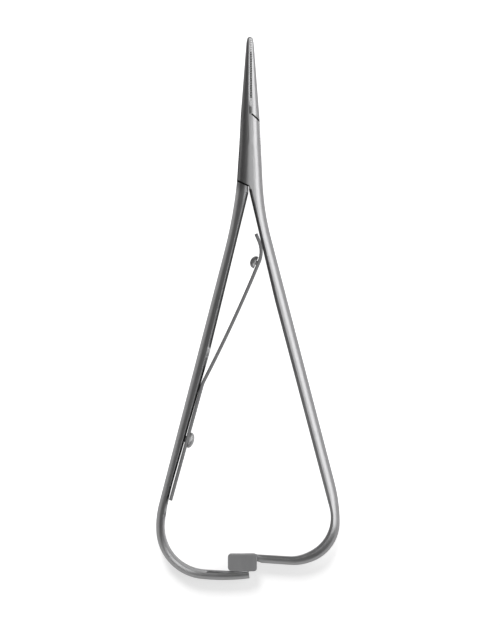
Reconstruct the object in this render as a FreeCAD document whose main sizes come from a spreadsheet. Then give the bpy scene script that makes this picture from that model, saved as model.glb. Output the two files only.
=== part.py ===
import FreeCAD, Part
import Sketcher
import math
import os
from FreeCAD import Matrix, Placement, Rotation, Vector

# Mathieu needle holder with a box joint: two crossed forged halves, the joint pin, and the leaf
# spring with its two screws. X points to the right, Y from the pivot towards the jaws and Z up
# from the surface that the instrument lies on. Every piece is drawn about its own middle plane
# and then raised by half of the handle depth, so the joint pin's axis meets the table at the
# origin. Lengths are millimetres and angles are degrees.

SIZES = {
    # section of the handles and the box: a crowned outer edge, flat sides, bevelled inner edges
    "depth": 5.32,
    "crown_radius": 2.7,
    "bar_blank": 3.7,
    "edge_bevel": 0.72,
    "bevel_spare": 0.4,
    "beyond": 60.0,
    "run_trial": 10.0,
    # head, from the tip down to the end of the box
    "tip_y": 29.67,
    "tip_half": 0.86,
    "tip_half_depth": 0.8,
    "tip_round": 0.4,
    "tip_spare": 2.0,
    "shoulder_y": 9.6,
    "shoulder_half": 2.4,
    "shoulder_half_depth": 2.3,
    "hip_y": 1.5,
    "hip_half": 2.8,
    "neck_lap": 1.0,
    "neck_start": 0.5,
    "box_end_y": -7.5,
    # jaw faces
    "parting_x": 0.26,
    "jaw_gap": 0.1,
    "tooth_pitch": 0.62,
    "tooth_depth": 0.46,
    "tooth_first_y": 14.0,
    "tooth_count": 19,
    "relief_y": 11.7,
    "relief_width": 0.45,
    # shoulders of the box and the crotch between the handles
    "upper_shoulder_y": 10.05,
    "upper_shoulder_slope": 41.6,
    "lower_shoulder_y": -8.79,
    "lower_shoulder_slope": 24.7,
    "shoulder_gap": 0.14,
    "cheek_reach": 15.0,
    "crotch_x": -0.28,
    "crotch_round": 0.7,
    # tongue, slot and pin
    "pin_diameter": 2.0,
    "pin_clearance": 0.03,
    "hub_radius": 1.85,
    "tongue_thickness": 1.8,
    "slot_clearance": 0.06,
    "tongue_flare": 30.0,
    "opening_angle": 20.0,
    "opening_margin": 1.5,
    # right handle, outer edge
    "right_half": 3.24,
    "right_neck_radius": 69.4,
    "right_splay": 14.57,
    "right_sweep_radius": 40.3,
    "right_turn_radius": 10.8,
    "arm_rise": 4.0,
    "arm_length": 13.4,
    "arm_lift": 2.68,
    # right handle, inner edge
    "right_inner_drop": 0.96,
    "right_inner_lean": 13.2,
    "right_inner_upper": 29.0,
    "right_inner_blend": 40.0,
    "right_inner_splay": 14.77,
    "arm_thickness": 2.04,
    "right_inner_turn": 9.7,
    "arm_inner_rise": 3.4,
    # left handle, outer edge
    "left_half": 3.38,
    "left_lean": 6.0,
    "left_neck_radius": 119.2,
    "left_stub": 3.0,
    "left_splay": 14.5,
    "left_length": 67.54,
    "left_sweep_radius": 23.5,
    "left_sweep": 17.2,
    "left_turn_radius": 13.05,
    "left_turn": 81.1,
    "foot_radius": 52.6,
    "foot_sweep": 13.6,
    # left handle, inner edge
    "left_inner_drop": 1.81,
    "left_inner_lean": 13.7,
    "left_inner_upper": 41.7,
    "left_inner_blend": 55.0,
    "left_inner_splay": 15.8,
    "foot_thickness": 1.55,
    "left_inner_sweep_radius": 74.3,
    "left_inner_sweep": 8.2,
    "left_inner_turn": 11.1,
    "left_inner_angle": 94.4,
    # catch block on the right arm, its lane and the pawl on the left foot
    "block_left": -5.7,
    "block_right": 1.8,
    "block_height": 4.45,
    "block_round": 0.9,
    "block_depth": 5.0,
    "foot_gap": 0.33,
    "lane_depth": 0.9,
    "lane_front": 1.5,
    "lane_back": -1.5,
    "lane_spare": 1.0,
    "catch_tooth": 0.45,
    "catch_pitch": 1.5,
    "catch_count": 3,
    "catch_slant": 0.9,
    "pawl_x": -0.7,
    "pawl_width": 0.85,
    "pawl_height": 0.78,
    "pawl_clearance": 0.15,
    "pawl_root": 1.0,
    # leaf spring
    "leaf_thickness": 0.85,
    "leaf_width": 4.4,
    "leaf_seat_gap": 0.02,
    "leaf_root_along": 7.6,
    "leaf_seat_lift": 0.5,
    "leaf_seat_length": 30.4,
    "leaf_root_radius": 7.5,
    "leaf_root_turn": 11.7,
    "leaf_bow_radius": 404.0,
    "leaf_bow_turn": 4.8,
    "leaf_peak_radius": 7.0,
    "leaf_peak_turn": 41.9,
    "leaf_tip_length": 1.5,
    "leaf_hole_clearance": 0.08,
    "guide_slot_length": 3.0,
    # screws: the spring screw holds the leaf, and the guide screw keeps its end in line
    "spring_screw_along": 14.2,
    "spring_screw_head": 4.0,
    "spring_screw_dome": 1.3,
    "spring_screw_shank": 1.7,
    "spring_screw_length": 2.6,
    "spring_tap_depth": 2.2,
    "head_gap": 0.02,
    "guide_along": 18.2,
    "guide_standoff": 2.96,
    "guide_head": 3.0,
    "guide_dome": 1.2,
    "guide_shank": 1.4,
    "guide_length": 4.46,
    "guide_tap_depth": 1.7,
    "driver_width": 0.4,
    "driver_depth": 0.5,
    "driver_spare": 1.0,
}

DOC = FreeCAD.newDocument("mathieu_needle_holder")


def make_sheet():
    """Write each driving size as plain text beside its own alias."""
    sheet = DOC.addObject("Spreadsheet::Sheet", "Sizes")
    for row, (alias, value) in enumerate(SIZES.items(), start=1):
        sheet.set(f"A{row}", alias)
        sheet.set(f"B{row}", str(value))
        sheet.setAlias(f"B{row}", alias)
    DOC.recompute()
    return sheet


SHEET = make_sheet()


def size(alias):
    return float(SHEET.get(alias))


FAR = size("beyond")


def slope(alias):
    return math.tan(math.radians(size(alias)))


class Trail:
    """A chain of plan edges drawn from a point along a heading, in degrees from X."""

    def __init__(self, point, heading=0.0):
        self.point = point
        self.heading = heading
        self.edges = []
        self.runs = []

    def to(self, point):
        self.edges.append(Part.LineSegment(Vector(*self.point, 0), Vector(*point, 0)))
        self.point = point
        return self

    def line(self, length):
        angle = math.radians(self.heading)
        self.runs.append((self.point, self.heading, length, 0.0))
        x = self.point[0] + length * math.cos(angle)
        y = self.point[1] + length * math.sin(angle)
        return self.to((x, y))

    def arc(self, radius, turn):
        """Turn left by a positive angle and right by a negative one."""
        side = math.copysign(1.0, turn)
        self.runs.append((self.point, self.heading, radius, turn))
        start, middle, end = (math.radians(self.heading + part * turn) for part in (0, 0.5, 1))
        centre = (self.point[0] - side * radius * math.sin(start),
                  self.point[1] + side * radius * math.cos(start))

        def on_arc(angle):
            return (centre[0] + side * radius * math.sin(angle),
                    centre[1] - side * radius * math.cos(angle))

        self.edges.append(Part.Arc(Vector(*self.point, 0), Vector(*on_arc(middle), 0),
                                   Vector(*on_arc(end), 0)))
        self.point = on_arc(end)
        self.heading += turn
        return self

    def join(self, other):
        """Go on along another trail that starts here."""
        self.edges.extend(other.edges)
        self.point = other.point
        self.heading = other.heading
        return self

    def reach_x(self, x):
        """Go straight on until the given x."""
        return self.line((x - self.point[0]) / math.cos(math.radians(self.heading)))

    def height_at(self, x):
        """Height of the trail's last straight run, produced to the given x."""
        return self.point[1] + (x - self.point[0]) * math.tan(math.radians(self.heading))


def upright(point, heading):
    """Section plane at a plan point: its x is the right-hand normal of the heading, its y is up."""
    angle = math.radians(heading)
    across = Vector(math.sin(angle), -math.cos(angle), 0)
    up = Vector(0, 0, 1)
    back = across.cross(up)
    return Placement(Matrix(across.x, up.x, back.x, point[0],
                            across.y, up.y, back.y, point[1],
                            across.z, up.z, back.z, 0,
                            0, 0, 0, 1))


def level(height):
    return Placement(Vector(0, 0, height), Rotation())


def new_body(label):
    body = DOC.addObject("PartDesign::Body", label)
    body.Label = label
    body.setExpression("Placement.Base.z", "Sizes.depth / 2")
    return body


def new_sketch(body, name, edges, place=None):
    plane = next(item for item in body.Origin.OriginFeatures if item.Role == "XY_Plane")
    sketch = body.newObject("Sketcher::SketchObject", name)
    sketch.AttachmentSupport = [(plane, "")]
    sketch.MapMode = "FlatFace"
    if place is not None:
        sketch.AttachmentOffset = place
    sketch.addGeometry(edges, False)
    return sketch


def drive(sketch, kind, *where, value, name, expression):
    """Add a constraint whose value the sheet drives."""
    index = sketch.addConstraint(Sketcher.Constraint(kind, *where, value))
    sketch.renameConstraint(index, name)
    sketch.setExpression(f"Constraints.{name}", expression)


def pocket(body, name, sketch, length=None, midplane=True, reverse=False):
    """Cut right through both ways, or as deep as the given sheet expression says."""
    made = body.newObject("PartDesign::Pocket", name)
    made.Profile = sketch
    made.Midplane = midplane
    made.Reversed = reverse
    if length is None:
        made.Type = "ThroughAll"
    else:
        made.setExpression("Length", length)
    return made


def head_section(body, name, y, halves, half_depth, leans=(0.0, 0.0)):
    """Two crown arcs joined by flats: the outline of the closed pair at one station. Where an
    edge leans, its arc is stretched into the ellipse that the station cuts from a round bar."""
    crown = size("crown_radius") * min(half_depth / (size("depth") / 2), 1.0)
    half_angle = math.asin(min(half_depth / crown, 1.0))
    right_half, left_half = halves
    right_reach, left_reach = (crown / math.cos(math.radians(lean)) for lean in leans)
    right = oval_arc(right_half - right_reach, right_reach, crown, 0.0, half_angle)
    left = oval_arc(left_reach - left_half, left_reach, crown, math.pi, half_angle)
    top = Part.LineSegment(right.EndPoint, left.StartPoint)
    bottom = Part.LineSegment(left.EndPoint, right.StartPoint)
    return new_sketch(body, name, [right, top, left, bottom], upright((0, y), 90.0))


def oval_arc(x, reach, crown, middle, half_angle):
    """Arc about a centre at x, half across and half deep by two radii."""
    oval = Part.Circle(Vector(x, 0, 0), Vector(0, 0, 1), crown)
    kind = Part.ArcOfCircle
    if reach > crown:
        oval = Part.Ellipse(Vector(x, 0, 0), reach, crown)
        kind = Part.ArcOfEllipse
    return kind(oval, middle - half_angle, middle + half_angle)


def add_jaws(body):
    """Closed-pair envelope from the tip to the end of the box, as straight-ruled stations."""
    full = size("crown_radius")
    leans = (right_lean(), size("left_lean"))
    blunt = size("tip_round") / 2

    def even(alias, less=0.0):
        return (size(alias) - less, size(alias) - less)

    tip_y = size("tip_y")
    sections = [
        head_section(body, "tip_section", tip_y, even("tip_half", blunt),
                     size("tip_half_depth") - blunt),
        head_section(body, "tip_round_section", tip_y - size("tip_round"), even("tip_half"),
                     size("tip_half_depth")),
        head_section(body, "shoulder_section", size("shoulder_y"), even("shoulder_half"),
                     size("shoulder_half_depth")),
        head_section(body, "hip_section", size("hip_y"), even("hip_half"), full, leans),
        head_section(body, "box_end_section", size("box_end_y"),
                     (size("right_half"), size("left_half")), full, leans)]
    jaws = body.newObject("PartDesign::AdditiveLoft", "jaws")
    jaws.Profile = sections[0]
    jaws.Sections = sections[1:]
    jaws.Ruled = True


def bar_section(body, name, point, heading, side):
    """Half-round outer edge with its apex on the outline, and two sides to the inner face."""
    crown = size("crown_radius")
    inner = side * size("bar_blank")
    circle = Part.Circle(Vector(side * crown, 0, 0), Vector(0, 0, 1), crown)
    first = math.pi / 2 if side > 0 else -math.pi / 2
    arc = Part.ArcOfCircle(circle, first, first + math.pi)
    near, far = Vector(inner, arc.EndPoint.y, 0), Vector(inner, arc.StartPoint.y, 0)
    edges = [arc, Part.LineSegment(arc.EndPoint, near), Part.LineSegment(near, far),
             Part.LineSegment(far, arc.StartPoint)]
    return new_sketch(body, name, edges, upright(point, heading))


def add_run(body, name, run, side):
    """Pad the bar section along a straight run, or turn it round the centre of a bend."""
    point, heading, reach, turn = run
    profile = bar_section(body, name + "_section", point, heading, side)
    if turn == 0.0:
        made = body.newObject("PartDesign::Pad", name)
        made.Profile = profile
        made.Length = reach
        made.Reversed = True
        return
    centre = math.copysign(reach, -turn)
    axis = Part.LineSegment(Vector(centre, 0, 0), Vector(centre, size("crown_radius"), 0))
    profile.addGeometry(axis, True)
    made = body.newObject("PartDesign::Revolution", name)
    made.Profile = profile
    made.ReferenceAxis = (profile, ["Axis0"])
    made.Angle = abs(turn)
    made.Reversed = turn < 0


def add_bar(body, name, trail, side):
    for index, run in enumerate(trail.runs, start=1):
        add_run(body, f"{name}_{index}", run, side)


def right_lean():
    """Lean of the head's right edge, which the right handle goes on from."""
    return math.degrees(math.atan2(size("right_half") - size("hip_half"),
                                   size("hip_y") - size("box_end_y")))


def neck(side, half, lean):
    """Short straight start of a handle, from just above the end of the box to just below it."""
    angle = math.radians(lean)
    lap = size("neck_lap")
    start = (side * (size(half) - lap * math.sin(angle)), size("box_end_y") + lap * math.cos(angle))
    return Trail(start, side * lean - 90.0).line(lap + size("neck_start"))


def add_head(body, right, left):
    """The bars below the box, cut off level at its end, then the jaws and the box above them."""
    add_bar(body, "right_bar", right, 1.0)
    add_bar(body, "left_bar", left, -1.0)
    edges = [Part.LineSegment(Vector(*first, 0), Vector(*second, 0)) for first, second in (
        ((-FAR, size("box_end_y")), (FAR, size("box_end_y"))),
        ((FAR, size("box_end_y")), (FAR, FAR)), ((FAR, FAR), (-FAR, FAR)),
        ((-FAR, FAR), (-FAR, size("box_end_y"))))]
    pocket(body, "bar_ends", new_sketch(body, "bar_ends_outline", edges))
    add_jaws(body)
    grind_flats(body)


def grind_flats(body):
    """Grind both sides flat, parallel to the plan."""
    edges = rectangle(2.0 * FAR, 2.0 * FAR)
    half = size("depth") / 2
    for name, height, reverse in (("front_flat", half, True), ("back_flat", -half, False)):
        sketch = new_sketch(body, name + "_outline", edges, level(height))
        pocket(body, name, sketch, length="Sizes.depth", midplane=False, reverse=reverse)


def sweep(body, name, kind, profile, trail):
    spine = new_sketch(body, name + "_path", trail.edges)
    pipe = body.newObject(kind, name)
    pipe.Profile = profile
    pipe.Spine = (spine, [f"Edge{index + 1}" for index in range(len(trail.edges))])
    pipe.Mode = "Binormal"
    pipe.Binormal = Vector(0, 0, 1)
    return pipe


def bevel_inner(body, name, trail, side):
    """Bevel both inner edges of a handle along its inner outline."""
    start, heading = trail.runs[0][:2]
    half = size("depth") / 2
    bevel = size("edge_bevel")
    spare = size("bevel_spare")
    for suffix, up in (("top", 1.0), ("bottom", -1.0)):
        low = Vector(side * spare, up * (half - bevel - spare), 0)
        high = Vector(-side * (bevel + spare), up * (half + spare), 0)
        corner = Vector(low.x, high.y, 0)
        edges = [Part.LineSegment(low, high), Part.LineSegment(high, corner),
                 Part.LineSegment(corner, low)]
        profile = new_sketch(body, f"{name}_{suffix}_section", edges, upright(start, heading))
        sweep(body, f"{name}_{suffix}", "PartDesign::SubtractivePipe", profile, trail)


def run_for(draw, x, target):
    """Length of the free straight run that brings an outline's last line to a height at x. The
    height changes evenly with the run, so two trials give it."""
    trial = size("run_trial")
    low, high = draw(trial).height_at(x), draw(2.0 * trial).height_at(x)
    return trial * (1.0 + (target - low) / (high - low))


def left_outer():
    trail = neck(-1.0, "left_half", size("left_lean"))
    trail.arc(size("left_neck_radius"), size("left_lean") - size("left_splay"))
    trail.line(size("left_length"))
    trail.arc(size("left_sweep_radius"), size("left_sweep"))
    trail.arc(size("left_turn_radius"), size("left_turn"))
    return trail.arc(size("foot_radius"), size("foot_sweep"))


def left_stub():
    """The left edge down to just below the box, where the lower shoulder cuts it off."""
    turn = math.degrees(size("left_stub") / size("left_neck_radius"))
    return neck(-1.0, "left_half", size("left_lean")).arc(size("left_neck_radius"), -turn)


def left_inner_start():
    x = size("crotch_x") - size("shoulder_gap")
    return (x, size("lower_shoulder_y") - size("left_inner_drop"))


def left_inner_with(run):
    trail = Trail(left_inner_start(), -90.0 - size("left_inner_lean"))
    trail.line(size("left_inner_upper"))
    trail.arc(size("left_inner_blend"), size("left_inner_lean") - size("left_inner_splay"))
    trail.line(run)
    trail.arc(size("left_inner_sweep_radius"), size("left_inner_sweep"))
    return trail.arc(size("left_inner_turn"), size("left_inner_angle"))


def left_inner():
    """Inner edge of the left handle, with the run that leaves the foot its thickness."""
    toe = left_outer().point
    run = run_for(left_inner_with, toe[0], toe[1] + size("foot_thickness"))
    return left_inner_with(run).line(FAR / 2)


def catch_radius():
    """Radius about the pivot of the block's underside, a gap above the foot under the pawl."""
    x = size("pawl_x")
    return math.hypot(x, left_inner().height_at(x)) - size("foot_gap")


def right_outer_with(run):
    trail = neck(1.0, "right_half", right_lean())
    trail.arc(size("right_neck_radius"), size("right_splay") - right_lean())
    trail.line(run)
    trail.arc(size("right_sweep_radius"), -size("right_splay"))
    return trail.arc(size("right_turn_radius"), -90.0 - size("arm_rise"))


def right_outer():
    """Outer edge of the right handle, with the run that brings its arm to the block."""
    x = size("pawl_x")
    run = run_for(right_outer_with, x, size("arm_lift") - catch_radius())
    return right_outer_with(run).line(size("arm_length"))


def right_inner_start():
    """Where the right handle's inner edge leaves the upright wall of the crotch."""
    return (size("crotch_x"), size("lower_shoulder_y") - size("right_inner_drop"))


def right_inner_with(run):
    trail = Trail(right_inner_start(), size("right_inner_lean") - 90.0)
    trail.line(size("right_inner_upper"))
    trail.arc(size("right_inner_blend"), size("right_inner_splay") - size("right_inner_lean"))
    trail.line(run)
    return trail.arc(size("right_inner_turn"),
                     -90.0 - size("right_inner_splay") - size("arm_inner_rise"))


def right_inner():
    """Inner edge of the right handle, with the run that leaves its arm the right thickness."""
    x = size("pawl_x")
    target = right_outer().height_at(x) + size("arm_thickness")
    return right_inner_with(run_for(right_inner_with, x, target)).line(size("arm_length"))


def upper_shoulder(x, gap=0.0):
    """Height of the slanted shoulder between box and right jaw, moved out by a gap."""
    lift = gap / math.cos(math.radians(size("upper_shoulder_slope")))
    return size("upper_shoulder_y") + lift - x * slope("upper_shoulder_slope")


def lower_shoulder(x, gap=0.0):
    """Height of the slanted shoulder between box and left handle, moved out by a gap."""
    drop = gap / math.cos(math.radians(size("lower_shoulder_slope")))
    return size("lower_shoulder_y") - drop - x * slope("lower_shoulder_slope")


def jaw_face(side):
    """Points of one jaw's face from the relief up to the tip. Both faces follow one zigzag, set
    half the gap to each side of the parting line."""
    middle = size("parting_x") + side * size("jaw_gap") / 2
    reach = size("tooth_depth") / 2
    pitch = size("tooth_pitch")
    points = [(middle, size("relief_y")), (middle, size("tooth_first_y"))]
    for tooth in range(int(size("tooth_count"))):
        y = size("tooth_first_y") + tooth * pitch
        points.append((middle + reach, y + pitch / 4))
        points.append((middle - reach, y + 3 * pitch / 4))
    points.append((middle, size("tooth_first_y") + size("tooth_count") * pitch))
    points.append((middle, size("tip_y") + size("tip_spare")))
    return points


def tangent_lean(radius, x, y):
    """Lean from Y of the line through a point that touches the hub circle on its left."""
    return math.degrees(math.atan2(x, y) + math.asin(radius / math.hypot(x, y)))


def flank_corner(radius, lean, flare):
    """Where two tangents on the hub's right side, leaning by two angles, cross each other."""
    one, two = math.radians(lean), math.radians(flare)
    middle = (one + two) / 2
    distance = radius / math.cos((two - one) / 2)
    return (distance * math.cos(middle), -distance * math.sin(middle))


def along(point, lean, reach):
    angle = math.radians(lean)
    return (point[0] + reach * math.sin(angle), point[1] + reach * math.cos(angle))


def upper_lean():
    x = size("parting_x") + size("relief_width") / 2
    return tangent_lean(size("hub_radius"), x, upper_shoulder(x, size("shoulder_gap")))


def lower_lean():
    x = size("crotch_x") - size("shoulder_gap")
    return tangent_lean(size("hub_radius"), -x, -lower_shoulder(x, size("shoulder_gap")))


def crotch_corner(trail, gap):
    """Follow the lower shoulder to the right and turn down into the wall of the crotch."""
    turn = 90.0 - size("lower_shoulder_slope")
    radius = size("crotch_round") - gap
    short = radius * (1 - math.sin(math.radians(size("lower_shoulder_slope"))))
    trail.reach_x(size("crotch_x") - gap - short)
    return trail.arc(radius, -turn)


def cut(body, name, trail, **how):
    return pocket(body, name, new_sketch(body, name + "_outline", trail.edges), **how)


def cut_handle_space(body):
    """Cut the left handle's room out of the box half, down to the shoulder and inner edge."""
    start = (-FAR, lower_shoulder(-FAR))
    trail = crotch_corner(Trail(start, -size("lower_shoulder_slope")), 0.0)
    trail.to(right_inner_start()).join(right_inner())
    trail.to((-FAR, trail.point[1]))
    cut(body, "handle_space", trail.to(start))


def cut_jaw_space(body):
    """Cut the right jaw's room out of the box half, with the teeth of the left jaw's face."""
    start = (FAR, upper_shoulder(FAR))
    x = size("parting_x") - size("relief_width") / 2
    trail = Trail(start).to((x, upper_shoulder(x))).to((x, size("relief_y")))
    for point in jaw_face(-1.0):
        trail.to(point)
    trail.to((FAR, trail.point[1]))
    cut(body, "jaw_space", trail.to(start))


def cut_slot(body):
    """Cut the slot that the tongue swings in: its rest outline and its turned one, with the hub
    between them, each side moved out by the slot clearance."""
    radius = size("hub_radius") + size("slot_clearance")
    flare = size("tongue_flare") + size("opening_angle") + size("opening_margin")
    reach = 2.0 * size("upper_shoulder_y")
    right = flank_corner(radius, lower_lean(), flare)
    left = flank_corner(radius, upper_lean(), flare)
    left = (-left[0], -left[1])
    corners = [along(left, upper_lean(), reach), left, along(left, flare, -reach),
               along(right, lower_lean(), -reach), right, along(right, flare, reach)]
    trail = Trail(corners[-1])
    for corner in corners:
        trail.to(corner)
    depth = "Sizes.tongue_thickness + 2 * Sizes.slot_clearance"
    cut(body, "slot", trail, length=depth)


def circle(radius, x=0.0, y=0.0):
    return Part.Circle(Vector(x, y, 0), Vector(0, 0, 1), radius)


def drill(body, name, radius, expression):
    sketch = new_sketch(body, name + "_circle", [circle(radius)])
    drive(sketch, "Radius", 0, value=radius, name="radius", expression=expression)
    sketch.addConstraint(Sketcher.Constraint("Coincident", 0, 3, -1, 1))
    pocket(body, name, sketch)


def add_block(body):
    """Block on the end of the right arm. Its underside is an arc about the pivot."""
    left, right = size("block_left"), size("block_right")
    radius = catch_radius()
    top = size("block_height") - radius
    corner = size("block_round")

    def under(x):
        return -math.sqrt(radius ** 2 - x ** 2)

    trail = Trail((right - corner, top), 180.0)
    trail.reach_x(left + corner).arc(corner, 90.0)
    trail.to((left, under(left) + corner))
    trail.heading = -90.0
    trail.arc(corner, 90.0)
    start, end = trail.point, (right - corner, under(right - corner))
    middle = (start[0] + end[0]) / 2
    trail.edges.append(Part.Arc(Vector(*start, 0), Vector(middle, under(middle), 0),
                                Vector(*end, 0)))
    trail.point = end
    trail.heading = 0.0
    trail.arc(corner, 90.0).to((right, top - corner))
    trail.arc(corner, 90.0)
    sketch = new_sketch(body, "block_outline", trail.edges)
    pad = body.newObject("PartDesign::Pad", "block")
    pad.Profile = sketch
    pad.Midplane = True
    pad.setExpression("Length", "Sizes.block_depth")


def cut_lane(body):
    """Cut the saw-toothed lane into the block's underside, open at both ends."""
    radius = catch_radius()
    pitch = math.degrees(size("catch_pitch") / radius)
    low = radius + size("lane_spare")
    high = radius - size("lane_depth")
    crest = high + size("catch_tooth")

    def place(distance, angle):
        turn = math.radians(angle)
        return (distance * math.sin(turn), -distance * math.cos(turn))

    first = math.degrees(math.asin((size("pawl_x") + size("pawl_width")) / radius))
    trail = Trail(place(low, first + 3 * pitch))
    trail.to(place(high, first + 3 * pitch)).to(place(high, first))
    for tooth in range(int(size("catch_count"))):
        angle = first - tooth * pitch
        trail.to(place(crest, angle - size("catch_slant") * pitch)).to(place(high, angle - pitch))
    angle = first - size("catch_count") * pitch
    trail.to(place(high, angle - 3 * pitch)).to(place(low, angle - 3 * pitch))
    trail.to(place(low, first + 3 * pitch))
    sketch = new_sketch(body, "lane_outline", trail.edges, level(size("lane_back")))
    pocket(body, "lane", sketch, length="Sizes.lane_front - Sizes.lane_back", midplane=False,
           reverse=True)


def make_box_half():
    body = new_body("box_half")
    add_head(body, right_outer(), left_stub())
    cut_handle_space(body)
    bevel_inner(body, "right_bevel", right_inner(), 1.0)
    cut_jaw_space(body)
    cut_slot(body)
    drill(body, "pin_hole", size("pin_diameter") / 2, "Sizes.pin_diameter / 2")
    add_block(body)
    cut_lane(body)
    tap(body, "guide_tap", guide_screw_seat(), "guide_shank", "guide_tap_depth")
    return body


def cut_tongue_left(body):
    """Cut away all that lies left of the tongue and of the right jaw's toothed face."""
    flare = size("tongue_flare")
    corner = flank_corner(size("hub_radius"), upper_lean(), flare)
    corner = (-corner[0], -corner[1])
    start = along(corner, flare, -FAR)
    x = size("parting_x") + size("relief_width") / 2
    trail = Trail(start).to(corner).to((x, upper_shoulder(x, size("shoulder_gap"))))
    trail.to((x, size("relief_y")))
    for point in jaw_face(1.0):
        trail.to(point)
    trail.to((-FAR, trail.point[1])).to((-FAR, start[1]))
    cut(body, "left_of_tongue", trail.to(start))


def cut_tongue_right(body):
    """Cut away all that lies right of the tongue and of the left handle's inner edge."""
    flare = size("tongue_flare")
    corner = flank_corner(size("hub_radius"), lower_lean(), flare)
    start = along(corner, flare, FAR)
    x = size("crotch_x") - size("shoulder_gap")
    trail = Trail(start).to(corner).to((x, lower_shoulder(x, size("shoulder_gap"))))
    trail.to(left_inner_start()).join(left_inner())
    trail.to((FAR, trail.point[1])).to((FAR, start[1]))
    cut(body, "right_of_tongue", trail.to(start))


def cut_cheeks(body):
    """Thin the through half to the tongue between the two shoulders, from both faces."""
    gap, reach = size("shoulder_gap"), size("cheek_reach")
    start = (-reach, lower_shoulder(-reach, gap))
    trail = crotch_corner(Trail(start, -size("lower_shoulder_slope")), gap)
    trail.to(left_inner_start()).to((reach, left_inner_start()[1]))
    trail.to((reach, upper_shoulder(reach, gap))).to((-reach, upper_shoulder(-reach, gap)))
    trail.to(start)
    half = size("tongue_thickness") / 2
    for name, height, reverse in (("front_cheek", half, True), ("back_cheek", -half, False)):
        sketch = new_sketch(body, name + "_outline", trail.edges, level(height))
        pocket(body, name, sketch, length="Sizes.depth", midplane=False, reverse=reverse)


def add_pawl(body):
    """Tooth that stands up from the end of the foot into the lane."""
    left = size("pawl_x") - size("pawl_width") / 2
    right = size("pawl_x") + size("pawl_width") / 2
    foot = left_inner().height_at(size("pawl_x"))
    base, top = foot - size("pawl_root"), foot + size("pawl_height")
    trail = Trail((left, base)).to((right, base)).to((right, top))
    trail.to((right - size("pawl_width") / 3, top)).to((left, base))
    sketch = new_sketch(body, "pawl_outline", trail.edges,
                        level(size("lane_back") + size("pawl_clearance")))
    pad = body.newObject("PartDesign::Pad", "pawl")
    pad.Profile = sketch
    pad.setExpression("Length", "Sizes.lane_front - Sizes.lane_back - 2 * Sizes.pawl_clearance")


def make_through_half():
    body = new_body("through_half")
    add_head(body, neck(1.0, "right_half", right_lean()), left_outer())
    cut_tongue_left(body)
    cut_tongue_right(body)
    cut_cheeks(body)
    bevel_inner(body, "left_bevel", left_inner(), -1.0)
    drill(body, "pin_bore", size("pin_diameter") / 2 + size("pin_clearance"),
          "Sizes.pin_diameter / 2 + Sizes.pin_clearance")
    add_pawl(body)
    tap(body, "spring_tap", spring_tap_seat(), "spring_screw_shank", "spring_tap_depth")
    return body


def make_joint_pin():
    """Pin ground flush with both cheeks, so its ends follow the crown of the box."""
    body = new_body("joint_pin")
    add_jaws(body)
    grind_flats(body)
    radius = size("pin_diameter") / 2
    sketch = new_sketch(body, "pin_outline", [circle(FAR), circle(radius)])
    drive(sketch, "Radius", 1, value=radius, name="radius", expression="Sizes.pin_diameter / 2")
    pocket(body, "around_pin", sketch)
    return body


def leaf_root():
    """Centre of the leaf where it leaves the left handle, and its downward heading there."""
    trail = Trail(left_inner_start(), -90.0 - size("left_inner_lean"))
    trail.line(size("left_inner_upper"))
    trail.arc(size("left_inner_blend"), size("left_inner_lean") - size("left_inner_splay"))
    trail.line(size("leaf_root_along"))
    lift = size("leaf_thickness") / 2 + size("leaf_seat_gap")
    inward = math.radians(trail.heading + 90.0)
    point = (trail.point[0] + lift * math.cos(inward), trail.point[1] + lift * math.sin(inward))
    return Trail(point, trail.heading + size("leaf_seat_lift"))


def leaf_start():
    """Lower end of the leaf, heading up."""
    root = leaf_root().line(size("leaf_seat_length"))
    return Trail(root.point, root.heading + 180.0)


def leaf_path(trail):
    """Seat, root bend, long bow, peak bend and curled tip, from the lower end up."""
    trail.line(size("leaf_seat_length"))
    trail.arc(size("leaf_root_radius"), -size("leaf_root_turn"))
    trail.arc(size("leaf_bow_radius"), size("leaf_bow_turn"))
    trail.arc(size("leaf_peak_radius"), size("leaf_peak_turn"))
    return trail.line(size("leaf_tip_length"))


def spring_screw_seat():
    """Centre of the leaf under the spring screw, and the heading of the screw's axis."""
    trail = leaf_root().line(size("spring_screw_along"))
    return Trail(trail.point, trail.heading + 90.0)


def spring_tap_seat():
    """Point under the spring screw on the left handle's side of the leaf."""
    seat = spring_screw_seat()
    inward = Trail(seat.point, seat.heading + 180.0).line(size("leaf_thickness") / 2)
    return Trail(inward.point, seat.heading)


def guide_screw_seat():
    """Point on the right handle's inner face under the guide screw, and its axis heading."""
    trail = Trail(right_inner_start(), size("right_inner_lean") - 90.0)
    trail.line(size("guide_along"))
    return Trail(trail.point, trail.heading - 90.0)


def guide_crossing():
    """Where the guide screw's axis crosses the leaf, and the leaf's heading there."""
    seat = guide_screw_seat()
    leaf = leaf_start()
    leaf.line(size("leaf_seat_length"))
    leaf.arc(size("leaf_root_radius"), -size("leaf_root_turn"))
    leaf.arc(size("leaf_bow_radius"), size("leaf_bow_turn"))
    axis, along_leaf = math.radians(seat.heading), math.radians(leaf.heading)
    across = (seat.point[0] - leaf.point[0], seat.point[1] - leaf.point[1])
    cross = math.cos(along_leaf) * math.sin(axis) - math.sin(along_leaf) * math.cos(axis)
    reach = (across[0] * math.sin(axis) - across[1] * math.cos(axis)) / cross
    return leaf.line(reach)


def side_plane(trail, turn=0.0):
    """Upright plane whose local x runs along a heading and whose normal lies across it."""
    return upright(trail.point, trail.heading + 90.0 + turn)


def rectangle(half_x, half_y):
    corners = [Vector(-half_x, -half_y, 0), Vector(half_x, -half_y, 0),
               Vector(half_x, half_y, 0), Vector(-half_x, half_y, 0)]
    return [Part.LineSegment(corners[index], corners[(index + 1) % 4]) for index in range(4)]


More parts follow.
